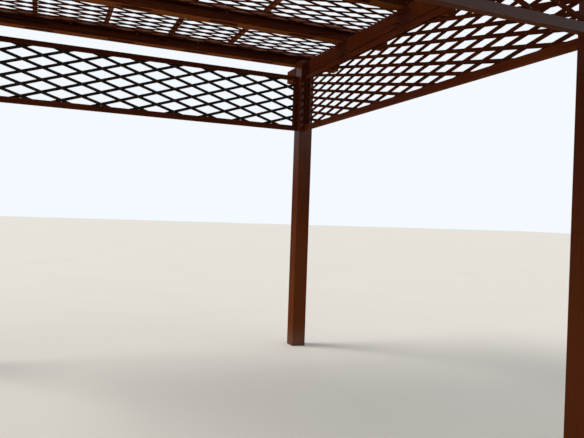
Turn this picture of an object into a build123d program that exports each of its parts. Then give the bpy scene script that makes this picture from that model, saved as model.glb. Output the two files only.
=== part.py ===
from build123d import *
import os
from math import atan2, ceil, degrees, hypot

# Garden pergola in varnished timber: four posts, a beam along each side, rafters across the
# beams, a framed lattice valance on each side and lattice sheets let in between the rafters.
# Millimetres, +Z up. The origin is on the floor under the middle, -Y is the front, +X the right.

# Posts, square in section and standing straight on the floor
post_width = 120.0
post_spacing_x = 2880.0  # centre to centre, left to right
post_spacing_y = 3000.0  # centre to centre, front to back
post_height = 2500.0

# Side beams, let into the outer part of each post head, with their tops level with it
beam_thickness = 60.0
beam_height = 115.0
beam_tail = 174.0  # past the outer face of the end rafter

# Rafters, laid across the two beams at an even spacing
rafter_count = 5
rafter_width = 100.0
rafter_height = 110.0
rafter_tail = 340.0  # past the outer face of the beam
rafter_gap_past_post = 77.0  # from the outer face of a post to the end rafter

# Valances: a grooved frame of square bars with a sheet of crossed slats in the groove
valance_gap = 19.0  # from the underside of the beams down to the valances
valance_height = 477.0
front_valance_setback = 0.0  # from the outer faces of the posts
back_valance_setback = 15.0
frame_depth = 35.0
top_rail_height = 35.0
bottom_rail_height = 42.0
stile_width = 30.0
groove_depth = 10.0
groove_clearance = 0.3  # round the sheet in its groove, on every side

# Slats of every lattice sheet, in two layers pinned where they cross
slat_width = 22.0
slat_thickness = 6.0

# Openings of the stretched lattice: its width and its rise between two crossings in line,
# and how far a crossing lies from the middle of the sheet
end_lattice_pitch = 283.0
end_lattice_rise = 92.0
front_lattice_offset = (23.0, 41.0)
back_lattice_offset = (15.0, 0.0)
side_lattice_pitch = 308.0
side_lattice_rise = 63.0
side_lattice_offset = (-17.0, 1.0)
roof_lattice_pitch = 286.0
roof_lattice_rise = 100.0
roof_lattice_offsets = ((60.0, 0.0), (-30.0, 0.0), (55.0, 2.0), (-66.0, -18.0))

# Ledger strips on the flanks of the rafters, which carry the roof sheets, and the short edge
# battens that butt against them under the ends of the sheets
ledger_lift = 48.0  # from the underside of the rafters
ledger_width = 20.0
ledger_height = 22.0
edge_batten_width = 42.0
sheet_setback = 15.0  # from the rafter ends to the ends of the ledgers and roof sheets
sheet_clearance = 0.3  # between a roof sheet and the rafters beside it

# Roof battens, laid over the rafters from front to back
batten_count = 4
batten_pitch = 520.0
batten_offset = 25.0  # the middle of the four lies this far to the right
batten_width = 32.0
batten_height = 30.0
batten_setback = 20.0  # from the outer faces of the end rafters

# Eased edges
timber_chamfer = 3.0
bar_chamfer = 1.5

# Places that follow from the sizes above
post_x = post_spacing_x / 2
post_y = post_spacing_y / 2
beam_outer_x = post_x + post_width / 2
beam_bottom = post_height - beam_height
rafter_length = 2 * (beam_outer_x + rafter_tail)
end_rafter_y = post_y + post_width / 2 + rafter_gap_past_post + rafter_width / 2
beam_length = 2 * (end_rafter_y + rafter_width / 2 + beam_tail)
rafter_spacing = 2 * end_rafter_y / (rafter_count - 1)
rafter_places = [-end_rafter_y + i * rafter_spacing for i in range(rafter_count)]
bay_width = rafter_spacing - rafter_width
valance_top = beam_bottom - valance_gap
valance_middle = valance_top - valance_height / 2
groove_width = 2 * slat_thickness + 2 * groove_clearance
ledger_bottom = post_height + ledger_lift
ledger_top = ledger_bottom + ledger_height
sheet_length = rafter_length - 2 * sheet_setback
edge_batten_x = sheet_length / 2 - edge_batten_width / 2
batten_length = 2 * end_rafter_y + rafter_width - 2 * batten_setback

os.makedirs("parts", exist_ok=True)


def save(name, *solids):
    """Write one named piece, or several like solids that share a name."""
    shape = solids[0] if len(solids) == 1 else Compound(children=list(solids))
    export_step(shape, f"parts/{name}.step")


def bar(length, depth, height, chamfer_size):
    """A sawn bar along X, centred on the origin, with its four long edges eased."""
    block = Box(length, depth, height)
    return chamfer(block.edges().filter_by(Axis.X), chamfer_size)


def post(side, end):
    """A post whose head is cut away on its outer part to seat the beam."""
    shaft = Pos(0, 0, post_height / 2) * Box(post_width, post_width, post_height)
    shaft = chamfer(shaft.edges().filter_by(Axis.Z), timber_chamfer)
    notch_x = side * (post_width - beam_thickness) / 2
    notch = Pos(notch_x, 0, post_height - beam_height / 2) * Box(beam_thickness, post_width, beam_height)
    return Pos(side * post_x, end * post_y, 0) * (shaft - notch)


def beam(side):
    x = side * (beam_outer_x - beam_thickness / 2)
    lying = Rot(0, 0, 90) * bar(beam_length, beam_thickness, beam_height, timber_chamfer)
    return Pos(x, 0, beam_bottom + beam_height / 2) * lying


def rafter(y):
    return Pos(0, y, post_height + rafter_height / 2) * bar(
        rafter_length, rafter_width, rafter_height, timber_chamfer
    )


def slat_layer(length, height, pitch, rise, offset, lean):
    """The slats of one layer, as flat faces trimmed to the sheet. Each crosses another in the sheet."""
    field = Rectangle(length, height)
    turn = degrees(atan2(lean * rise, pitch))
    slat_length = 2 * hypot(length, height) + 2 * pitch
    reach = max(length / pitch, height / rise) + 1
    steps = range(-ceil(reach), ceil(reach) + 1)
    faces = []
    for k in range(-2 * ceil(reach), 2 * ceil(reach) + 1):
        x = offset[0] + k * pitch
        crossings = [(x + j * pitch / 2, offset[1] + lean * j * rise / 2) for j in steps]
        if any(abs(cx) < length / 2 and abs(cy) < height / 2 for cx, cy in crossings):
            slat = Pos(x, offset[1]) * Rot(0, 0, turn) * Rectangle(slat_length, slat_width)
            faces += (field & slat).faces()
    return faces


def lattice_sheet(length, height, pitch, rise, offset):
    """Two layers of slats leaning opposite ways, fused at their crossings. It lies flat at z = 0."""
    lower = slat_layer(length, height, pitch, rise, offset, 1)
    upper = slat_layer(length, height, pitch, rise, offset, -1)
    slats = [extrude(face, slat_thickness, dir=(0, 0, 1)) for face in lower]
    slats += [Pos(0, 0, slat_thickness) * extrude(face, slat_thickness, dir=(0, 0, 1)) for face in upper]
    return slats[0].fuse(*slats[1:])


def valance_rail(length, height):
    """A rail along X, centred on the origin, with its groove on top."""
    groove = Pos(0, 0, (height - groove_depth) / 2) * Box(length, groove_width, groove_depth)
    return bar(length, frame_depth, height, bar_chamfer) - groove


def valance_stile(height):
    """An upright stile, centred on the origin, with its groove towards +X."""
    block = Box(stile_width, frame_depth, height)
    groove = Pos((stile_width - groove_depth) / 2, 0, 0) * Box(groove_depth, groove_width, height)
    return chamfer(block.edges().filter_by(Axis.Z), bar_chamfer) - groove


def valance_parts(length, pitch, rise, offset):
    """One valance standing in the XZ plane about the origin, as a dictionary of its pieces."""
    opening_length = length - 2 * stile_width
    opening_height = valance_height - top_rail_height - bottom_rail_height
    opening_z = (bottom_rail_height - top_rail_height) / 2
    tuck = groove_depth - groove_clearance
    sheet = lattice_sheet(opening_length + 2 * tuck, opening_height + 2 * tuck, pitch, rise, offset)
    bottom_rail = valance_rail(length, bottom_rail_height)
    top_rail = Rot(180, 0, 0) * valance_rail(length, top_rail_height)
    stile = valance_stile(opening_height)
    stile_x = (length - stile_width) / 2
    return {
        "bottom_rail": Pos(0, 0, (bottom_rail_height - valance_height) / 2) * bottom_rail,
        "top_rail": Pos(0, 0, (valance_height - top_rail_height) / 2) * top_rail,
        "left_stile": Pos(-stile_x, 0, opening_z) * stile,
        "right_stile": Pos(stile_x, 0, opening_z) * Rot(0, 0, 180) * stile,
        "lattice": Pos(0, slat_thickness, opening_z) * Rot(90, 0, 0) * sheet,
    }


def save_valance(side_name, place, pieces):
    for piece_name, piece in pieces.items():
        save(f"{side_name}_valance_{piece_name}", place * piece)


def ledger(y):
    return Pos(0, y, ledger_bottom + ledger_height / 2) * Box(sheet_length, ledger_width, ledger_height)


def rafter_ledgers(index):
    """The ledger strips on the flanks of one rafter that face a bay."""
    out = (rafter_width + ledger_width) / 2
    strips = []
    if index > 0:
        strips.append(ledger(rafter_places[index] - out))
    if index < rafter_count - 1:
        strips.append(ledger(rafter_places[index] + out))
    return strips


def edge_battens(x):
    """The short battens at one end of the sheets, one in each bay, level with the ledgers."""
    length = bay_width - 2 * ledger_width
    z = ledger_bottom + ledger_height / 2
    return [
        Pos(x, y + rafter_spacing / 2, z) * Box(edge_batten_width, length, ledger_height)
        for y in rafter_places[:-1]
    ]


def roof_sheet(index):
    """The lattice of one bay, laid on its ledgers and edge battens."""
    offset = roof_lattice_offsets[index % len(roof_lattice_offsets)]
    width = bay_width - 2 * sheet_clearance
    sheet = lattice_sheet(sheet_length, width, roof_lattice_pitch, roof_lattice_rise, offset)
    return Pos(0, rafter_places[index] + rafter_spacing / 2, ledger_top) * sheet


def roof_batten(x):
    lying = Rot(0, 0, 90) * bar(batten_length, batten_width, batten_height, bar_chamfer)
    return Pos(x, 0, post_height + rafter_height + batten_height / 2) * lying


for end_name, end in (("front", -1), ("back", 1)):
    for side_name, side in (("left", -1), ("right", 1)):
        save(f"{end_name}_{side_name}_post", post(side, end))

for side_name, side in (("left", -1), ("right", 1)):
    save(f"{side_name}_beam", beam(side))

for number, y in enumerate(rafter_places, start=1):
    save(f"rafter_{number}", rafter(y))
    save(f"rafter_{number}_ledgers", *rafter_ledgers(number - 1))

end_length = post_spacing_x - post_width
flush_y = post_y + post_width / 2 - frame_depth / 2
front_valance = valance_parts(end_length, end_lattice_pitch, end_lattice_rise, front_lattice_offset)
back_valance = valance_parts(end_length, end_lattice_pitch, end_lattice_rise, back_lattice_offset)
save_valance("front", Pos(0, front_valance_setback - flush_y, valance_middle), front_valance)
save_valance("back", Pos(0, flush_y - back_valance_setback, valance_middle), back_valance)

side_length = post_spacing_y - post_width
side_valance = valance_parts(side_length, side_lattice_pitch, side_lattice_rise, side_lattice_offset)
save_valance("left", Pos(-post_x, 0, valance_middle) * Rot(0, 0, 90), side_valance)
save_valance("right", Pos(post_x, 0, valance_middle) * Rot(0, 0, 90), side_valance)

save("roof_edge_battens", *edge_battens(-edge_batten_x), *edge_battens(edge_batten_x))
for number in range(rafter_count - 1):
    save(f"roof_lattice_{number + 1}", roof_sheet(number))

for number in range(batten_count):
    x = batten_offset + (number - (batten_count - 1) / 2) * batten_pitch
    save(f"roof_batten_{number + 1}", roof_batten(x))
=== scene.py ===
import math
import random
import bmesh
import bpy
from mathutils import Matrix, Vector


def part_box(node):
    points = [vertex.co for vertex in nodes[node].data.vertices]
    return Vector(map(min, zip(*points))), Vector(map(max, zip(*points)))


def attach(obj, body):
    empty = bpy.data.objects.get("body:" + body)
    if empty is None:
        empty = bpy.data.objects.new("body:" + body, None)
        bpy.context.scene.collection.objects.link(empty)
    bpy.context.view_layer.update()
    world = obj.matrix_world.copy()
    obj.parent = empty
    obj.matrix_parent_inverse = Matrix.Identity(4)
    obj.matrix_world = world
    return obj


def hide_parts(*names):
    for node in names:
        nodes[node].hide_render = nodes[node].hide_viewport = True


# Garden pergola in dark varnished timber, with trellis valances and a trellis roof.
# Metres, +Z up, the front at -Y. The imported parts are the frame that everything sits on.

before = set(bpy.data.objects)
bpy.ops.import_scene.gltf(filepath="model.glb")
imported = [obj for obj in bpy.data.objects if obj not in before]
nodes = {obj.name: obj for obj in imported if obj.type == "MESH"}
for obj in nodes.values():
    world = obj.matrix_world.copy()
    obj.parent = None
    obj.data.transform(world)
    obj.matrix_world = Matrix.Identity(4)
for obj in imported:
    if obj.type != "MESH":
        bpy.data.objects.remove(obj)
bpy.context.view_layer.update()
print("frame loaded:", len(nodes), "parts")

scene = bpy.context.scene
scene.view_settings.view_transform = "Standard"

# Camera

cameraSettings = {
    "place": (-0.656, -3.240, 1.123),
    "lens": 36.09,
    "sensor": 36.0,
    "turnRight": 23.077,  # degrees away from straight back
    "tiltUp": -0.173,
    "roll": 1.973,
}


def makeCamera(settings):
    data = bpy.data.cameras.new("gardenCamera")
    data.lens = settings["lens"]
    data.sensor_width = settings["sensor"]
    data.sensor_fit = "HORIZONTAL"
    data.clip_start = 0.05
    data.clip_end = 200.0
    camera = bpy.data.objects.new("gardenCamera", data)
    scene.collection.objects.link(camera)
    turn = Matrix.Rotation(math.radians(-settings["turnRight"]), 4, "Z")
    tilt = Matrix.Rotation(math.radians(90.0 + settings["tiltUp"]), 4, "X")
    roll = Matrix.Rotation(math.radians(settings["roll"]), 4, "Z")
    camera.matrix_world = Matrix.Translation(settings["place"]) @ turn @ tilt @ roll
    scene.camera = camera


makeCamera(cameraSettings)
print("camera placed")

# Shader helpers


class Wire:  # one output of a node, which takes plain arithmetic
    def __init__(self, paint, node, index=0):
        self.paint = paint
        self.node = node
        self.socket = node.outputs[index]

    def pick(self, index):
        return Wire(self.paint, self.node, index)

    def math(self, operation, *values):
        return self.paint.add("Math", {"operation": operation}, values)

    def __add__(self, other):
        return self.math("ADD", self, other)

    def __radd__(self, other):
        return self.math("ADD", other, self)

    def __sub__(self, other):
        return self.math("SUBTRACT", self, other)

    def __rsub__(self, other):
        return self.math("SUBTRACT", other, self)

    def __mul__(self, other):
        return self.math("MULTIPLY", self, other)

    def __rmul__(self, other):
        return self.math("MULTIPLY", other, self)

    def __truediv__(self, other):
        return self.math("DIVIDE", self, other)

    def __abs__(self):
        return self.math("ABSOLUTE", self)

    def fraction(self):
        return self.math("FRACT", self)

    def larger(self, other):
        return self.math("MAXIMUM", self, other)

    def ease(self, start, end):  # 0 at start, 1 at end, smooth between them
        settings = {"interpolation_type": "SMOOTHSTEP"}
        return self.paint.add("MapRange", settings, {0: self, 1: start, 2: end})


class Paint:  # the nodes of one material
    def __init__(self, name):
        self.material = bpy.data.materials.new(name)
        self.material.use_nodes = True
        self.tree = self.material.node_tree
        self.tree.nodes.clear()

    def add(self, kind, settings, values, output=0):
        node = self.tree.nodes.new("ShaderNode" + kind)
        for key, value in settings.items():
            setattr(node, key, value)
        pairs = values.items() if isinstance(values, dict) else enumerate(values)
        for key, value in pairs:
            if isinstance(value, Wire):
                self.tree.links.new(value.socket, node.inputs[key])
            else:
                node.inputs[key].default_value = value
        return Wire(self, node, output)

    def point(self, x, y, z):
        return self.add("CombineXYZ", {}, [x, y, z])

    def noise(self, place, scale=1.0, detail=2.0, roughness=0.5):
        values = {"Vector": place, "Scale": scale, "Detail": detail, "Roughness": roughness}
        return self.add("TexNoise", {}, values)

    def blend(self, factor, first, second):  # two colours
        first = first if isinstance(first, Wire) else (*first, 1.0)
        second = second if isinstance(second, Wire) else (*second, 1.0)
        return self.add("Mix", {"data_type": "RGBA"}, {0: factor, 6: first, 7: second}, 2)

    def surface(self, fixed, **linked):
        shader = self.add("BsdfPrincipled", {}, {**fixed, **linked})
        end = self.tree.nodes.new("ShaderNodeOutputMaterial")
        self.tree.links.new(shader.socket, end.inputs[0])
        return self.material


# Stage, world and lamps

stageSettings = {
    "floorSize": 160.0,
    "floorPale": (0.86, 0.82, 0.75),
    "floorShade": (0.82, 0.77, 0.70),
    "worldColour": (0.90, 0.95, 1.0),
    "worldStrength": 0.45,  # as light on the pergola
    "worldShown": 1.0,  # where it is seen, straight on or in the varnish
}
lampSettings = {  # where each lamp stands, seen from the pergola, with its strength and softness
    "keyLamp": {"from": (-1.0, 0.42, 1.05), "strength": 2.1, "spread": 34.0, "colour": (1.0, 0.965, 0.91)},
    "fillLamp": {"from": (0.8, -1.0, 0.9), "strength": 0.20, "spread": 60.0, "colour": (0.93, 0.96, 1.0)},
}


def makeFloor(settings):
    bpy.ops.mesh.primitive_plane_add(size=settings["floorSize"])
    floor = bpy.context.object
    floor.name = "studioFloor"
    paint = Paint("paleFloor")
    coords = paint.add("TexCoord", {}, {}, 3)
    mottle = paint.noise(coords, 0.8, 3.0)
    colour = paint.blend(mottle, settings["floorShade"], settings["floorPale"])
    floor.data.materials.append(paint.surface({"Roughness": 0.85}, **{"Base Color": colour}))


def makeLamp(name, settings):
    data = bpy.data.lights.new(name, "SUN")
    data.energy = settings["strength"]
    data.angle = math.radians(settings["spread"])
    data.color = settings["colour"]
    lamp = bpy.data.objects.new(name, data)
    scene.collection.objects.link(lamp)
    lamp.rotation_euler = Vector(settings["from"]).to_track_quat("Z", "Y").to_euler()


def makeWorld(settings):
    world = bpy.data.worlds.new("paleSky")
    world.use_nodes = True
    scene.world = world
    tree = world.node_tree
    tree.nodes.clear()
    path = tree.nodes.new("ShaderNodeLightPath")
    seen = path.outputs["Is Camera Ray"]
    for ray in ("Is Transmission Ray", "Is Glossy Ray"):
        either = tree.nodes.new("ShaderNodeMath")
        either.operation = "MAXIMUM"
        tree.links.new(seen, either.inputs[0])
        tree.links.new(path.outputs[ray], either.inputs[1])
        seen = either.outputs[0]
    mix = tree.nodes.new("ShaderNodeMixShader")
    tree.links.new(seen, mix.inputs[0])
    for entry, strength in ((1, settings["worldStrength"]), (2, settings["worldShown"])):
        sky = tree.nodes.new("ShaderNodeBackground")
        sky.inputs["Color"].default_value = (*settings["worldColour"], 1.0)
        sky.inputs["Strength"].default_value = strength
        tree.links.new(sky.outputs[0], mix.inputs[entry])
    out = tree.nodes.new("ShaderNodeOutputWorld")
    tree.links.new(mix.outputs[0], out.inputs[0])


makeFloor(stageSettings)
makeWorld(stageSettings)
for name, settings in lampSettings.items():
    makeLamp(name, settings)
print("stage and lamps made")

# Varnished timber

frameLook = {
    "pale": (0.085, 0.0170, 0.0052),  # early wood under the varnish
    "dark": (0.027, 0.0050, 0.0022),  # late wood lines
    "warm": (0.130, 0.032, 0.0075),  # where the stain took thinner
    "knot": (0.014, 0.004, 0.003),
    "worn": (0.250, 0.100, 0.038),  # bare wood at rubbed edges
    "faded": (0.180, 0.082, 0.052),  # sun side
    "endGrain": (0.036, 0.010, 0.006),
    "dust": (0.170, 0.125, 0.090),
    "under": (0.205, 0.060, 0.0135),  # painted bounce light: undersides lighter and more orange, as if lit from the ground
    "underLine": (0.095, 0.025, 0.0065),
    "bounceShare": 0.25,
    "ringWidth": 0.0065,
    "wearWidth": 0.006,
    "gloss": 0.36,
    "coat": 0.04,
    "knots": 1.0,
    "reliefDepth": 0.0009,
}
toneSpread = (0.82, 1.18)  # from one piece to the next
knotsPerMetre = 3.4
pithWander = 0.03
grainScales = {  # how fine each ripple is along the grain, and across it
    "wander": (0.9, 4.0),
    "fibre": (7.0, 420.0),
    "streak": (1.3, 46.0),
    "patch": (0.8, 3.0),
    "crackLine": (0.7, 9.0),
    "crackRoom": (1.1, 2.0),
    "rub": (9.0, 60.0),
    "brush": (4.0, 150.0),
}
grainOrder = {"x": (0, 1, 2), "y": (1, 0, 2), "z": (2, 0, 1)}  # along the grain, then across it
varnish = {"Specular IOR Level": 0.0, "Coat Roughness": 0.14}  # all of the gloss lies in the coat


def shade(colour, factor):
    return tuple(channel * factor for channel in colour)


def darken(look, factor, *tones):
    return {tone: shade(look[tone], factor) for tone in tones}


postLook = {
    **frameLook,
    "coatHigh": 0.34,  # a deeper gloss up under the roof, out of the rain
    "splashHeight": 0.22,
}
beamLook = {**frameLook, "bounceShare": 0.1}
rafterLook = {
    **frameLook,
    "bounceShare": 0.85,
    "wearWidth": 0.0035,
    "paintedSunlight": (0.390, 0.175, 0.130),  # painted sunlight: the strip of flank above the sheets, lighter and pinker
    "paintedSunlightFrom": 0.027,  # above the rafter's middle
    "underPatches": {  # darker patches along the underside
        "pitch": 0.61,
        "length": 0.205,
        "start": -0.215,
        "from": -0.030,  # across the rafter
        "to": 0.018,
        "waver": 0.006,
        "softEnds": 0.008,
        "softEdges": 0.002,
    },
}
railLook = {**frameLook, "ringWidth": 0.0045, "wearWidth": 0.004, "knots": 0.8}
# painted shade: the front rails are darkened to 0.6 for the shade on the front, with a stronger coat for a
# sky sheen
shadedFrontRailLook = {**railLook, "coat": 0.45, **darken(frameLook, 0.6, "pale", "dark", "warm")}
battenLook = {
    **frameLook,
    "ringWidth": 0.005,
    "wearWidth": 0.003,
    "gloss": 0.5,
    "coat": 0.01,
    "bounceShare": 0.85,
    # painted bounce light: the battens' undersides are lighter and more orange than the frame's
    "under": (0.360, 0.135, 0.052),
    "underLine": (0.190, 0.060, 0.022),
}
# painted shade: the ledgers' colours are darkened to about a third, for the shade they sit in under the
# sheets
ledgerShadeLook = {**battenLook, "under": frameLook["under"], "bounceShare": 0.15, "coat": 0.0}
ledgerShadeLook.update(darken(frameLook, 0.32, "pale", "dark", "warm", "worn"))


class Wood(Paint):  # the paint of one piece of timber, which knows how its grain runs
    def __init__(self, name, along, look, seed, fold):
        super().__init__(name + "Wood")
        rng = random.Random(seed)
        low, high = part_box(name)
        order = grainOrder[along]
        self.look = look
        self.tone = rng.uniform(*toneSpread)
        self.shift = rng.uniform(5.0, 50.0)
        self.half = [(high[axis] - low[axis]) / 2 for axis in order]
        self.half[1] -= fold
        self.pith = [rng.uniform(-0.7, 0.7) * self.half[1], rng.uniform(-0.9, 0.9) * self.half[2]]
        self.where = self.add("TexCoord", {}, {}, 3)
        local = self.add("VectorMath", {"operation": "SUBTRACT"}, [self.where, (low + high) / 2])
        split = self.add("SeparateXYZ", {}, [local])
        self.length, self.side, self.rise = (split.pick(axis) for axis in order)
        if fold:
            self.side = abs(self.side) - fold
        facing = self.add("SeparateXYZ", {}, [self.add("TexCoord", {}, {}, 1)])
        self.upward = facing.pick(2)
        self.under = self.upward.ease(-0.8, -0.95)
        self.endFace = abs(facing.pick(order[0])).ease(0.8, 0.95)
        self.fibre = self.ripple("fibre", 3.0, 0.6)
        self.streak = self.ripple("streak")
        self.patch = self.ripple("patch")

    def ripple(self, kind, detail=2.0, roughness=0.5):  # noise drawn out along the grain
        lengthwise, across = grainScales[kind]
        place = self.point(self.length * lengthwise + self.shift, self.side * across, self.rise * across)
        return self.noise(place, 1.0, detail, roughness)

    def toned(self, part):
        return shade(self.look[part], self.tone)


def findKnotGap(wood):  # how far off the nearest knot is
    place = wood.point(wood.length + wood.shift, wood.side, wood.rise)
    return wood.add("TexVoronoi", {}, {"Vector": place, "Scale": knotsPerMetre}) / knotsPerMetre


def findLateWood(wood, knotGap):  # rings about a pith that wanders along the piece and bends round knots
    wander = wood.add("SeparateXYZ", {}, [wood.ripple("wander", 1.0).pick(1)])
    across = wood.side - wood.pith[0] + wander.pick(0) * pithWander
    up = wood.rise - wood.pith[1] + wander.pick(1) * pithWander
    radius = wood.add("VectorMath", {"operation": "LENGTH"}, [wood.point(across, up, 0.0)], 1)
    bend = knotGap.ease(0.06, 0.004) * 2.6 * wood.look["knots"]
    ring = (radius / wood.look["ringWidth"] + bend).fraction()
    return ring.ease(0.35, 0.88) * ring.ease(1.0, 0.93)


def findCracks(wood):  # drying cracks along the grain
    line = abs(wood.ripple("crackLine", 1.0) - 0.5)
    return line.ease(0.010, 0.002) * wood.ripple("crackRoom", 0.0).ease(0.56, 0.62)


def findWear(wood):  # rubbed edges
    edgeGap = (wood.half[1] - abs(wood.side)).larger(wood.half[2] - abs(wood.rise))
    rub = wood.ripple("rub", 3.0, 0.65).ease(0.50, 0.68)
    return edgeGap.ease(wood.look["wearWidth"], 0.001) * rub * (1.0 - wood.endFace)


def tintGrain(wood, darkness, knot):
    colour = wood.blend(darkness, wood.toned("pale"), wood.toned("dark"))
    colour = wood.blend(wood.patch.ease(0.45, 0.75) * 0.45, colour, wood.toned("warm"))
    return wood.blend(knot, colour, wood.look["knot"])


# painted bounce light: downward faces are blended toward a lighter, more orange tone
def paintUndersideBounce(wood, colour, darkness):
    tint = wood.blend(darkness, wood.toned("under"), wood.toned("underLine"))
    return wood.blend(wood.under * wood.look["bounceShare"], colour, tint)


# darker rectangles at a regular pitch along part of the underside
def darkenUnderPatches(wood, colour):
    underPatches = wood.look["underPatches"]
    run = ((wood.length + wood.fibre * underPatches["waver"] - underPatches["start"]) / underPatches["pitch"]).fraction()
    share = underPatches["length"] / underPatches["pitch"]
    stretch = run.ease(share + underPatches["softEnds"], share - underPatches["softEnds"])
    side = wood.side + (wood.streak - 0.5) * underPatches["waver"]
    soft = underPatches["softEdges"]
    past = side.ease(underPatches["from"] - soft, underPatches["from"] + soft)
    short = side.ease(underPatches["to"] + soft, underPatches["to"] - soft)
    return wood.blend(stretch * past * short * wood.under * 0.9, colour, wood.toned("dark"))


# painted sunlight: a lighter pinkish strip on the flank above the sheets
def paintSunlitStrip(wood, colour):
    start = wood.look["paintedSunlightFrom"]
    sunlitStrip = wood.rise.ease(start - 0.003, start + 0.003) * (0.4 + wood.patch * 0.8)
    return wood.blend(sunlitStrip * 0.8, colour, wood.look["paintedSunlight"])


def tintEnds(wood, colour, late):
    endTone = wood.blend(late * 0.7, wood.look["endGrain"], shade(wood.look["dark"], 1.5))
    return wood.blend(wood.endFace * 0.8, colour, endTone)


def finishPost(wood, colour, rough, coat):  # lighter and warmer below, which is painted bounce light, with a dusty foot; glossier above
    # painted bounce light: a warmer, lighter colour toward the foot of the post
    colour = wood.blend(wood.length.ease(0.4, -0.8) * 0.5, colour, shade(wood.look["warm"], 1.1))
    coat = coat + wood.length.ease(0.05, 0.85) * wood.look["coatHigh"]
    speckle = 0.4 + 0.6 * wood.noise(wood.where, 14.0, 4.0, 0.65)
    splash = (wood.length + wood.half[0]).ease(wood.look["splashHeight"], 0.0) * speckle
    colour = wood.blend(splash * 0.55, colour, wood.look["dust"])
    return colour, rough + splash * 0.35, coat * (1.0 - splash)


def timber(name, along, look, seed, fold):
    wood = Wood(name, along, look, seed, fold)
    knotGap = findKnotGap(wood)
    knot = knotGap.ease(0.015, 0.009) * look["knots"]
    late = findLateWood(wood, knotGap)
    crack = findCracks(wood)
    wear = findWear(wood)
    sun = wood.upward.ease(0.35, 0.9) * (0.45 + 0.55 * wood.noise(wood.where, 3.0, 3.0))
    darkness = late * 0.45 + wood.fibre * 0.35 + wood.streak * 0.5 - 0.12

    colour = tintGrain(wood, darkness, knot)
    colour = paintUndersideBounce(wood, colour, darkness)
    if "underPatches" in look:
        colour = darkenUnderPatches(wood, colour)
    if "paintedSunlight" in look:
        colour = paintSunlitStrip(wood, colour)
    colour = wood.blend(crack * 0.85, colour, look["knot"])
    colour = tintEnds(wood, colour, late)
    colour = wood.blend(sun * 0.75, colour, look["faded"])
    colour = wood.blend(wear * 0.55, colour, look["worn"])

    rough = look["gloss"] + wood.fibre * 0.16 + wear * 0.2 + sun * 0.3 + wood.endFace * 0.25
    coat = look["coat"] * (1.0 - sun * 0.85) * (1.0 - wood.endFace * 0.6) * (1.0 - wood.under * 0.9)
    if "coatHigh" in look:
        colour, rough, coat = finishPost(wood, colour, rough, coat)
    relief = wood.fibre * 0.25 + wood.ripple("brush") * 0.35 - late * 0.25 - crack * 3.0 - knot * 0.4
    bump = wood.add("Bump", {}, {"Strength": 0.55, "Distance": look["reliefDepth"], "Height": relief})
    linked = {"Base Color": colour, "Roughness": rough, "Coat Weight": coat, "Normal": bump}
    return wood.surface(varnish, **linked)


ends = ("front", "back")
sides = ("left", "right")
rafterNumbers = range(1, 6)
battenNumbers = range(1, 5)
bayNumbers = range(1, 5)
ledgerWidth = 0.020
edgeBattenWidth = 0.042


def findFold(name, axis, width):  # half the way between two like strips in one node
    low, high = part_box(name)
    spread = high[axis] - low[axis]
    return (spread - width) / 2 if spread > 2 * width else 0.0


def listTimber():  # name, grain, look and fold of every bar
    for end in ends:
        for side in sides:
            yield f"{end}_{side}_post", "z", postLook, 0.0
    for side in sides:
        yield f"{side}_beam", "y", beamLook, 0.0
    for number in rafterNumbers:
        yield f"rafter_{number}", "x", rafterLook, 0.0
    for panel in ends + sides:
        look = shadedFrontRailLook if panel == "front" else railLook
        for rail in ("bottom_rail", "top_rail"):
            yield f"{panel}_valance_{rail}", "x" if panel in ends else "y", look, 0.0
        for stile in ("left_stile", "right_stile"):
            yield f"{panel}_valance_{stile}", "z", look, 0.0
    for number in rafterNumbers:
        name = f"rafter_{number}_ledgers"
        yield name, "x", ledgerShadeLook, findFold(name, 1, ledgerWidth)
    for number in battenNumbers:
        yield f"roof_batten_{number}", "y", battenLook, 0.0
    yield "roof_edge_battens", "y", battenLook, findFold("roof_edge_battens", 0, edgeBattenWidth)


for seed, (name, along, look, fold) in enumerate(listTimber(), start=101):
    materials = nodes[name].data.materials
    materials.clear()
    materials.append(timber(name, along, look, seed, fold))
print("timber dressed")

# Lattice slats, two crossed layers to a sheet, trimmed to the sheet's edges

slatSettings = {
    "width": 0.022,
    "thickness": 0.006,
    "easedEdge": 0.0011,
    "cuts": 16,  # crosswise, so that a slat can bow
    "bow": 0.0018,
    "drift": 0.0012,  # off its true place
    "turnError": 0.0007,
    "wornHalfWidth": 0.0115,  # rubbing is measured in from here
}
endLattice = {"pitch": 0.283, "rise": 0.092, "axes": "xz"}
sideLattice = {"pitch": 0.308, "rise": 0.063, "axes": "yz"}
roofLattice = {"pitch": 0.286, "rise": 0.100, "axes": "xy"}
latticeSheets = {  # each with one crossing's place, from the middle of the sheet
    "front_valance_lattice": {**endLattice, "offset": (0.023, 0.041)},
    "back_valance_lattice": {**endLattice, "offset": (0.015, 0.0)},
    "left_valance_lattice": {**sideLattice, "offset": (-0.017, 0.001)},
    "right_valance_lattice": {**sideLattice, "offset": (-0.017, 0.001)},
    "roof_lattice_1": {**roofLattice, "offset": (0.060, 0.0)},
    "roof_lattice_2": {**roofLattice, "offset": (-0.030, 0.0)},
    "roof_lattice_3": {**roofLattice, "offset": (0.055, 0.002)},
    "roof_lattice_4": {**roofLattice, "offset": (-0.066, -0.018)},
}
sheetSeeds = {"first": 143, "step": 7}
roofSag = {"depth": 0.010, "flatEnds": 8}  # the sheets hang a little between their ledgers


def selectNothing():
    if bpy.context.object and bpy.context.object.mode != "OBJECT":
        bpy.ops.object.mode_set(mode="OBJECT")
    bpy.ops.object.select_all(action="DESELECT")


def selectOnly(*pieces):
    selectNothing()
    for piece in pieces:
        piece.select_set(True)
    bpy.context.view_layer.objects.active = pieces[0]


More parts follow.
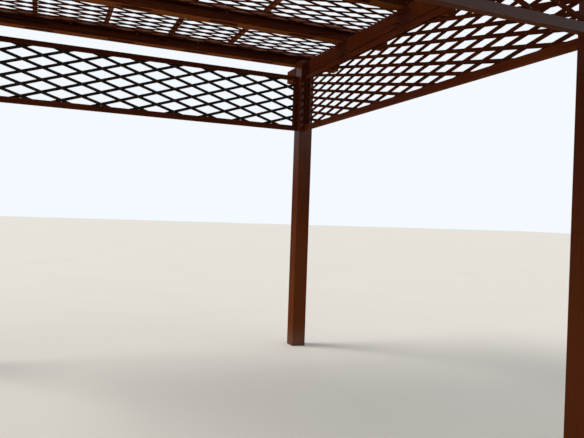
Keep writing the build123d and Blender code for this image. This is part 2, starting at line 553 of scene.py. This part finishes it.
def pickEdges(wanted):  # in edit mode, the edges whose two ends satisfy a test
    mesh = bmesh.from_edit_mesh(bpy.context.object.data)
    bpy.ops.mesh.select_mode(type="EDGE")
    for edge in mesh.edges:
        edge.select_set(wanted(edge.verts[0].co, edge.verts[1].co))
    mesh.select_flush_mode()
    bmesh.update_edit_mesh(bpy.context.object.data)


def isLengthwise(first, second):
    return abs(first.x - second.x) > slatSettings["width"]


def makeSlat(settings, length):
    selectNothing()
    bpy.ops.mesh.primitive_cube_add(size=1.0)
    slat = bpy.context.object
    slat.scale = (length, settings["width"], settings["thickness"])
    bpy.ops.object.transform_apply(location=False, rotation=False, scale=True)
    bpy.ops.object.mode_set(mode="EDIT")
    pickEdges(isLengthwise)
    bpy.ops.mesh.bevel(offset=settings["easedEdge"], segments=1)
    pickEdges(isLengthwise)
    bpy.ops.mesh.subdivide(number_cuts=settings["cuts"])
    bpy.ops.object.mode_set(mode="OBJECT")
    slat.data.attributes.new("slatPlace", "FLOAT_VECTOR", "POINT")
    slat.data.attributes.new("slatTone", "FLOAT", "POINT")
    place = slat.data.attributes["slatPlace"]
    for vertex, mark in zip(slat.data.vertices, place.data):
        mark.vector = vertex.co
    return slat


def sheetFrame(name, axes):  # the sheet's own frame: along it, up it, and out of its second layer
    low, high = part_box(name)
    along = Vector((1, 0, 0)) if axes[0] == "x" else Vector((0, 1, 0))
    up = Vector((0, 0, 1)) if axes[1] == "z" else Vector((0, 1, 0))
    out = along.cross(up)
    turn = Matrix((along, up, out)).transposed().to_4x4()
    size = high - low
    return Matrix.Translation((low + high) / 2) @ turn, abs(size.dot(along)), abs(size.dot(up))


def findCrossings(sheet, length, height):
    found = []
    reach = math.ceil(length / sheet["pitch"] + height / sheet["rise"]) + 1
    for rising in range(-reach, reach + 1):
        for falling in range(-reach, reach + 1):
            along = sheet["offset"][0] + (rising + falling) * sheet["pitch"] / 2
            up = sheet["offset"][1] + (falling - rising) * sheet["rise"] / 2
            if abs(along) < length / 2 and abs(up) < height / 2:
                found.append((rising, falling, along, up))
    return found


def placeSlat(master, settings, sheet, sheetTurn, number, lean, rng):
    slat = master.copy()
    slat.data = master.data.copy()
    scene.collection.objects.link(slat)
    length = master.dimensions.x
    bow = rng.uniform(-1.0, 1.0) * settings["bow"]
    for vertex in slat.data.vertices:
        vertex.co.y += bow * math.cos(math.pi * vertex.co.x / length)
    tone = rng.random()
    for mark in slat.data.attributes["slatTone"].data:
        mark.value = tone
    slope = lean * sheet["rise"] / sheet["pitch"]
    along = sheet["offset"][0] + number * sheet["pitch"] - sheet["offset"][1] / slope
    along += rng.uniform(-1.0, 1.0) * settings["drift"] / abs(slope)
    turn = math.atan(slope) + rng.uniform(-1.0, 1.0) * settings["turnError"]
    lift = -lean * settings["thickness"] / 2
    place = Matrix.Translation((along, 0.0, lift)) @ Matrix.Rotation(turn, 4, "Z")
    slat.data.transform(sheetTurn @ place)
    return slat


def trimToBox(piece, low, high, axes):
    selectOnly(piece)
    bpy.ops.object.mode_set(mode="EDIT")
    for axis in axes:
        outward = Vector((axis == "x", axis == "y", axis == "z"))
        for corner, normal in ((low, -outward), (high, outward)):
            bpy.ops.mesh.select_all(action="SELECT")
            bpy.ops.mesh.bisect(plane_co=corner, plane_no=normal, use_fill=True, clear_outer=True)
    bpy.ops.object.mode_set(mode="OBJECT")


def findSag(low, high, place):  # nothing over the ledgers and the edge battens
    offCentre = place - (low + high) / 2
    along = abs(offCentre.x) / ((high.x - low.x) / 2 - edgeBattenWidth)
    across = abs(offCentre.y) / ((high.y - low.y) / 2 - ledgerWidth)
    return roofSag["depth"] * max(0.0, 1.0 - across**2) * max(0.0, 1.0 - along ** roofSag["flatEnds"])


def makeLattice(name, sheet, settings, seed):
    rng = random.Random(seed)
    sheetTurn, length, height = sheetFrame(name, sheet["axes"])
    crossings = findCrossings(sheet, length, height)
    stretch = math.hypot(sheet["pitch"], sheet["rise"]) / sheet["rise"]
    master = makeSlat(settings, (height + 2 * settings["width"]) * stretch)
    slats = []
    for lean, numbers in ((1, {c[0] for c in crossings}), (-1, {c[1] for c in crossings})):
        for number in sorted(numbers):
            slats.append(placeSlat(master, settings, sheet, sheetTurn, number, lean, rng))
    bpy.data.objects.remove(master)
    selectOnly(*slats)
    bpy.ops.object.join()
    piece = bpy.context.object
    piece.name = name.replace("_lattice", "_slats")
    low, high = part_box(name)
    trimToBox(piece, low, high, sheet["axes"])
    if sheet["axes"] == "xy":
        for vertex in piece.data.vertices:
            vertex.co.z -= findSag(low, high, vertex.co)
    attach(piece, "root")
    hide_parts(name)
    return piece


def slatTimber(name, look, sunSide):
    paint = Paint(name)
    place = paint.add("Attribute", {"attribute_name": "slatPlace"}, {}, 1)
    tone = paint.add("Attribute", {"attribute_name": "slatTone"}, {}, 2)
    split = paint.add("SeparateXYZ", {}, [place])
    length, side, rise = (split.pick(axis) for axis in range(3))
    facing = paint.add("SeparateXYZ", {}, [paint.add("TexCoord", {}, {}, 1)])

    def grain(lengthwise, across):
        return paint.point((length + tone * 91.0) * lengthwise, side * across + tone * 7.0, rise * across)

    band = paint.noise(grain(0.8, 95.0), 1.0, 2.0)
    late = (band * 7.0 + side * 120.0 * (tone - 0.5)).fraction().ease(0.45, 0.9)
    fibre = paint.noise(grain(9.0, 600.0), 1.0, 3.0, 0.6)
    patch = paint.noise(grain(3.0, 20.0), 1.0, 2.0)
    darkness = late * 0.4 + fibre * 0.4 + patch * 0.4 - 0.15
    colour = paint.blend(darkness, look["pale"], look["dark"])
    colour = paint.blend(tone * 0.5, colour, paint.blend(fibre, look["warm"], look["pale"]))
    knot = paint.noise(grain(16.0, 60.0), 1.0, 0.0).ease(0.80, 0.86)
    colour = paint.blend(knot * 0.8, colour, look["knot"])
    edgeGap = (slatSettings["wornHalfWidth"] - abs(side)).larger(0.0)
    wear = edgeGap.ease(0.0022, 0.0006) * paint.noise(grain(14.0, 90.0), 1.0, 3.0, 0.65).ease(0.5, 0.66)
    colour = paint.blend(wear * 0.4, colour, look["worn"])
    rough = look["gloss"] + fibre * 0.15 + wear * 0.2
    if sunSide:
        sun = facing.pick(2).ease(0.35, 0.9) * (0.5 + 0.5 * patch)
        colour = paint.blend(sun * 0.8, colour, look["faded"])
        rough = rough + sun * 0.3
    relief = fibre * 0.3 - late * 0.25 - knot * 0.5
    bump = paint.add("Bump", {}, {"Strength": 0.5, "Distance": look["reliefDepth"], "Height": relief})
    return paint.surface(
        {**varnish, "Coat Weight": look["coat"]},
        **{"Base Color": colour, "Roughness": rough, "Normal": bump},
    )


slatLook = {**frameLook, "gloss": 0.45, "coat": 0.01, "reliefDepth": 0.0006}
# painted shade: the slats are darkened to 0.62 of the frame's colours, as they stand dark against the light
slatLook.update(darken(frameLook, 0.62, "pale", "warm"))
# painted shade: darker, greyer slats for the back valance, which stands against the light
shadedBackSlatLook = {
    **slatLook,
    "pale": (0.028, 0.019, 0.015),
    "warm": (0.040, 0.024, 0.017),
    "dark": (0.012, 0.009, 0.008),
}
valanceSlatWood = slatTimber("valanceSlatWood", slatLook, sunSide=False)
shadedBackSlatWood = slatTimber("shadedBackSlatWood", shadedBackSlatLook, sunSide=False)  # at the back, darker and greyer: painted shade on slats seen against the light
roofSlatWood = slatTimber("roofSlatWood", slatLook, sunSide=True)
slatWoods = {"roof": roofSlatWood, "back": shadedBackSlatWood}
for number, (name, sheet) in enumerate(latticeSheets.items()):
    seed = sheetSeeds["first"] + number * sheetSeeds["step"]
    piece = makeLattice(name, sheet, slatSettings, seed)
    piece.data.materials.clear()
    piece.data.materials.append(slatWoods.get(name.split("_")[0], valanceSlatWood))
    print(piece.name, len(piece.data.polygons), "faces")

# Fixings: pins where the slats cross, screws, coach bolts and the wooden plugs opposite them

pinSettings = {
    "sides": 8,
    "radius": 0.0032,
    "height": 0.0018,
    "proud": 0.0012,
    "round": 0.0008,
    "grooveDepth": 0.010,  # a valance's frame hides the pins this far in
    "edgeRoom": 0.0038,
}
screwSettings = {
    "sides": 12,
    "radius": 0.0042,
    "height": 0.0018,
    "proud": 0.0006,
    "rim": 0.0013,
    "recess": 0.0010,
    "recessPull": 0.42,  # draws two corners in three in, which leaves a cross
    "recessTaper": 0.6,
}
boltSettings = {
    "sides": 28,
    "radius": 0.0150,  # of the washer
    "height": 0.0030,
    "proud": 0.0020,
    "rim": 0.0030,
    "dome": 0.0062,
    "domeRings": 5,
    "domeTurn": 80.0,  # degrees, which leaves a small flat on top
    "spread": 0.028,  # from the middle of the joint
    "rise": 0.022,
}
plugSettings = {"sides": 24, "radius": 0.0125, "height": 0.0030, "proud": 0.0007, "round": 0.0006}
screwPlaces = {
    "toeLift": 0.024,  # up the flank of a rafter
    "toeSpread": 0.017,
    "ledgerEvery": 0.5,
    "ledgerEachWay": 3,  # screws on either side of the middle one
    "edgeInset": 0.012,
    "edgeSpread": 0.011,
    "battenSpread": 0.018,  # along a roof batten, over each rafter
    "battenStagger": 0.004,  # off the batten's middle line
    "battenSink": 0.0005,
}
metalLook = {
    "pale": (0.150, 0.115, 0.085),
    "dark": (0.045, 0.030, 0.022),
    "rust": (0.130, 0.042, 0.016),
}


def pickFaces(wanted):  # in edit mode, the faces that satisfy a test
    mesh = bmesh.from_edit_mesh(bpy.context.object.data)
    bpy.ops.mesh.select_mode(type="FACE")
    for face in mesh.faces:
        face.select_set(wanted(face))
    mesh.select_flush_mode()
    bmesh.update_edit_mesh(bpy.context.object.data)


def facesOut(face):
    return face.normal.z > 0.9


def startDisc(settings):  # in edit mode, facing +Z, with the timber's surface at z = 0
    selectNothing()
    middle = settings["proud"] - settings["height"] / 2
    bpy.ops.mesh.primitive_cylinder_add(
        vertices=settings["sides"],
        radius=settings["radius"],
        depth=settings["height"],
        location=(0, 0, middle),
    )
    bpy.ops.object.transform_apply(location=True, rotation=False, scale=False)
    bpy.ops.object.mode_set(mode="EDIT")
    return bpy.context.object


def makeRoundedDisc(settings):  # a pin's head or a plug
    disc = startDisc(settings)
    pickEdges(lambda first, second: min(first.z, second.z) > settings["proud"] / 2)
    bpy.ops.mesh.bevel(offset=settings["round"], segments=1)
    bpy.ops.object.mode_set(mode="OBJECT")
    return disc


def extrudeUp(rise, shrink):
    bpy.ops.mesh.extrude_region_move(TRANSFORM_OT_translate={"value": (0.0, 0.0, rise)})
    bpy.ops.transform.resize(value=(shrink, shrink, 1.0), center_override=(0.0, 0.0, 0.0))


def makeScrew(settings):
    screw = startDisc(settings)
    pickFaces(facesOut)
    bpy.ops.mesh.inset(thickness=settings["rim"])
    mesh = bmesh.from_edit_mesh(screw.data)
    inner = next(face for face in mesh.faces if face.select)
    for turn, vertex in enumerate(inner.verts):
        if turn % 3:
            vertex.co.x *= settings["recessPull"]
            vertex.co.y *= settings["recessPull"]
    bmesh.update_edit_mesh(screw.data)
    extrudeUp(-settings["recess"], settings["recessTaper"])
    bpy.ops.object.mode_set(mode="OBJECT")
    return screw


def makeBolt(settings):
    bolt = startDisc(settings)
    pickFaces(facesOut)
    bpy.ops.mesh.inset(thickness=settings["rim"])
    rings = settings["domeRings"]
    turns = [math.radians(settings["domeTurn"] * ring / rings) for ring in range(rings + 1)]
    for first, second in zip(turns, turns[1:]):
        rise = settings["dome"] * (math.sin(second) - math.sin(first))
        extrudeUp(rise, math.cos(second) / math.cos(first))
    bpy.ops.object.mode_set(mode="OBJECT")
    return bolt


def setCopies(master, spots, name, material, rng):
    copies = []
    for place, outward in spots:
        copy = master.copy()
        copy.data = master.data.copy()
        scene.collection.objects.link(copy)
        turn = outward.to_track_quat("Z", "Y").to_matrix().to_4x4()
        spin = Matrix.Rotation(rng.uniform(0.0, math.tau), 4, "Z")
        copy.data.transform(Matrix.Translation(place) @ turn @ spin)
        copies.append(copy)
    selectOnly(*copies)
    bpy.ops.object.join()
    piece = bpy.context.object
    piece.name = name
    piece.data.materials.clear()
    piece.data.materials.append(material)
    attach(piece, "root")
    print(name, len(spots), "fixings")


def agedMetal(name, look):
    paint = Paint(name)
    where = paint.add("TexCoord", {}, {}, 3)
    mottle = paint.noise(where, 240.0, 3.0, 0.6)
    rust = paint.noise(where, 90.0, 4.0, 0.65).ease(0.48, 0.66)
    colour = paint.blend(mottle, look["dark"], look["pale"])
    colour = paint.blend(rust * 0.8, colour, look["rust"])
    bump = paint.add("Bump", {}, {"Strength": 0.4, "Distance": 0.0002, "Height": mottle + rust})
    metallic = 0.8 - rust * 0.7
    rough = 0.42 + rust * 0.35
    linked = {"Base Color": colour, "Metallic": metallic, "Roughness": rough, "Normal": bump}
    return paint.surface({}, **linked)


def plugTimber(name, look):
    paint = Paint(name)
    split = paint.add("SeparateXYZ", {}, [paint.add("TexCoord", {}, {}, 3)])
    across = paint.point(split.pick(0) * 60.0, split.pick(1) * 25.0, split.pick(2) * 420.0)
    fibre = paint.noise(across, 1.0, 3.0, 0.6)
    colour = paint.blend(fibre.ease(0.3, 0.7), look["dark"], look["pale"])
    bump = paint.add("Bump", {}, {"Strength": 0.4, "Distance": 0.0004, "Height": fibre})
    return paint.surface({**varnish, "Coat Weight": look["coat"]}, **{"Base Color": colour, "Normal": bump})


def findPins(name, sheet):  # both faces of a sheet, but not under what holds it
    sheetTurn, length, height = sheetFrame(name, sheet["axes"])
    low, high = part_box(name)
    isRoof = sheet["axes"] == "xy"
    radius = pinSettings["radius"]
    hidden = 0.0 if isRoof else pinSettings["grooveDepth"]
    spots = []
    for rising, falling, along, up in findCrossings(sheet, length, height):
        if min(length / 2 - abs(along), height / 2 - abs(up)) - hidden < pinSettings["edgeRoom"]:
            continue
        onBatten = abs(along) > length / 2 - edgeBattenWidth - radius
        onLedger = abs(up) > height / 2 - ledgerWidth - radius
        for face in (-1, 1):
            if isRoof and face < 0 and (onBatten or onLedger):
                continue
            place = sheetTurn @ Vector((along, up, face * slatSettings["thickness"]))
            if isRoof:
                place.z -= findSag(low, high, place)
            spots.append((place, sheetTurn.to_3x3() @ Vector((0.0, 0.0, face))))
    return spots


def findToeScrews():
    spots = []
    for number in rafterNumbers:
        low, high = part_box(f"rafter_{number}")
        for side in sides:
            beamLow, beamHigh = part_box(f"{side}_beam")
            for way in (-1, 1):
                x = (beamLow.x + beamHigh.x) / 2 + way * screwPlaces["toeSpread"]
                z = low.z + screwPlaces["toeLift"]
                spots.append((Vector((x, low.y, z)), Vector((0, -1, 0))))
                spots.append((Vector((x, high.y, z)), Vector((0, 1, 0))))
    return spots


def findFrameScrews():  # through each stile into the rails, seen from both faces
    spots = []
    for panel in ends + sides:
        across = 1 if panel in ends else 0
        outward = Vector((across == 0, across == 1, 0))
        for rail in ("bottom_rail", "top_rail"):
            low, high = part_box(f"{panel}_valance_{rail}")
            for stile in ("left_stile", "right_stile"):
                stileLow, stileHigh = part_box(f"{panel}_valance_{stile}")
                place = (stileLow + stileHigh) / 2
                place.z = (low.z + high.z) / 2
                for corner, sign in ((low, -1), (high, 1)):
                    place[across] = corner[across]
                    spots.append((place.copy(), outward * sign))
    return spots


def findLedgerScrews():
    spots = []
    every = screwPlaces["ledgerEvery"]
    eachWay = screwPlaces["ledgerEachWay"]
    for number in rafterNumbers:
        low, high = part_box(f"rafter_{number}_ledgers")
        rafterLow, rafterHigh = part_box(f"rafter_{number}")
        faces = []
        if low.y < rafterLow.y:
            faces.append((low.y, -1))
        if high.y > rafterHigh.y:
            faces.append((high.y, 1))
        for y, sign in faces:
            for step in range(-eachWay, eachWay + 1):
                spots.append((Vector((step * every, y, (low.z + high.z) / 2)), Vector((0, sign, 0))))
    return spots


def findBattenScrews():  # on the roof battens over the rafters, and in the undersides of the edge battens
    spots = []
    for number in battenNumbers:
        low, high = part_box(f"roof_batten_{number}")
        for rafter in rafterNumbers:
            rafterLow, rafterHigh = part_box(f"rafter_{rafter}")
            for way in (-1, 1):
                x = (low.x + high.x) / 2 + way * screwPlaces["battenStagger"]
                y = (rafterLow.y + rafterHigh.y) / 2 + way * screwPlaces["battenSpread"]
                z = high.z - screwPlaces["battenSink"]
                spots.append((Vector((x, y, z)), Vector((0, 0, 1))))
    low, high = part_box("roof_edge_battens")
    for number in bayNumbers:
        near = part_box(f"rafter_{number}")[1].y + ledgerWidth + screwPlaces["edgeInset"]
        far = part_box(f"rafter_{number + 1}")[0].y - ledgerWidth - screwPlaces["edgeInset"]
        for middle in (low.x + edgeBattenWidth / 2, high.x - edgeBattenWidth / 2):
            for y in (near, far):
                for way in (-1, 1):
                    x = middle + way * screwPlaces["edgeSpread"]
                    spots.append((Vector((x, y, low.z)), Vector((0, 0, -1))))
    return spots


def findJoints():  # where the posts take the beams: the bolts outside, the plugs inside
    bolts = []
    plugs = []
    for end in ends:
        for side, sign in (("left", -1), ("right", 1)):
            postLow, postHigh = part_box(f"{end}_{side}_post")
            beamLow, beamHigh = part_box(f"{side}_beam")
            outer = beamHigh.x if sign > 0 else beamLow.x
            inner = postLow.x if sign > 0 else postHigh.x
            for way in (-1, 1):
                y = (postLow.y + postHigh.y) / 2 + way * boltSettings["spread"]
                z = (beamLow.z + beamHigh.z) / 2 + way * boltSettings["rise"]
                bolts.append((Vector((outer, y, z)), Vector((sign, 0, 0))))
                plugs.append((Vector((inner, y, z)), Vector((-sign, 0, 0))))
    return bolts, plugs


rng = random.Random(7)
pinMetal = agedMetal("pinMetal", metalLook)
screwMetal = agedMetal("screwMetal", metalLook)
pin = makeRoundedDisc(pinSettings)
for name, sheet in latticeSheets.items():
    setCopies(pin, findPins(name, sheet), name.replace("_lattice", "_pins"), pinMetal, rng)
screw = makeScrew(screwSettings)
setCopies(screw, findToeScrews(), "rafter_screws", screwMetal, rng)
setCopies(screw, findFrameScrews(), "valance_screws", screwMetal, rng)
setCopies(screw, findLedgerScrews(), "ledger_screws", screwMetal, rng)
setCopies(screw, findBattenScrews(), "batten_screws", screwMetal, rng)
boltSpots, plugSpots = findJoints()
bolt = makeBolt(boltSettings)
setCopies(bolt, boltSpots, "beam_bolts", screwMetal, rng)
plug = makeRoundedDisc(plugSettings)
setCopies(plug, plugSpots, "beam_plugs", plugTimber("plugWood", frameLook), rng)
for master in (pin, screw, bolt, plug):
    bpy.data.objects.remove(master)
print("fixings made")
